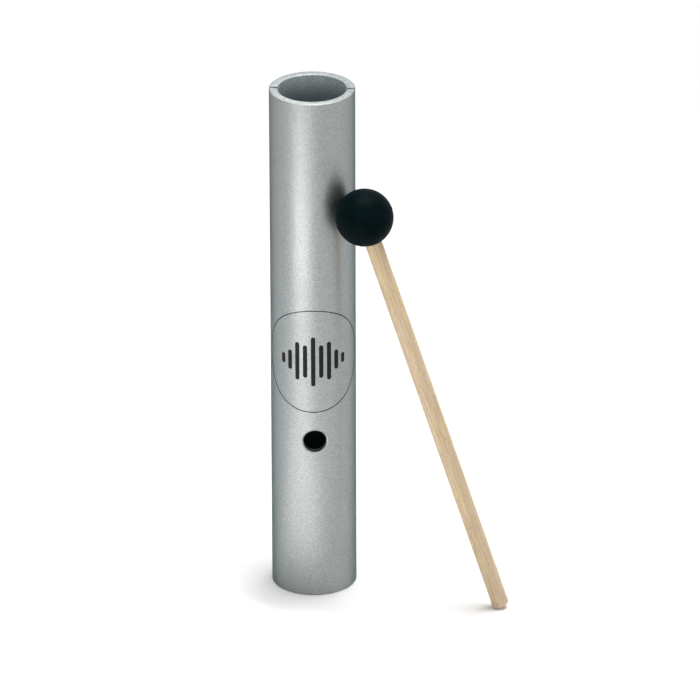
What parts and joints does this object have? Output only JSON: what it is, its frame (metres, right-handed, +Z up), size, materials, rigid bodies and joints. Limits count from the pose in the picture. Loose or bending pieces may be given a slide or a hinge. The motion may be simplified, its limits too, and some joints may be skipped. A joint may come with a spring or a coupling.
{
  "type": "wah-wah tube",
  "caption": "Slotted aluminium tube with a thumb hole and a stopped foot, struck with the rubber ball mallet that leans on it.",
  "frame": {"origin": "on the tube's axis, at the flat foot that the tube stands on", "axes": "+Z up the tube towards its slotted end, -Y out of the thumb hole, +X to the player's right, where the mallet leans"},
  "size_m": [0.1114, 0.0573, 0.252],
  "materials": {
    "satin_aluminium": "bead-blasted satin",
    "plug_rubber": "matte moulded",
    "beech": "sanded, unvarnished",
    "ball_rubber": "satin moulded"
  },
  "bodies": {
    "instrument": {"tube": "satin_aluminium", "end_plug": "plug_rubber"},
    "mallet": {"mallet_stick": "beech", "mallet_head": "ball_rubber"}
  },
  "joints": [
    {"name": "mallet_swing", "type": "hinge", "parent": "instrument", "child": "mallet", "pos_m": [0.08684, -0.03273, 0.00453], "axis": [0.1426, 0.9898, 0], "range_deg": [0, 105.5]}
  ]
}
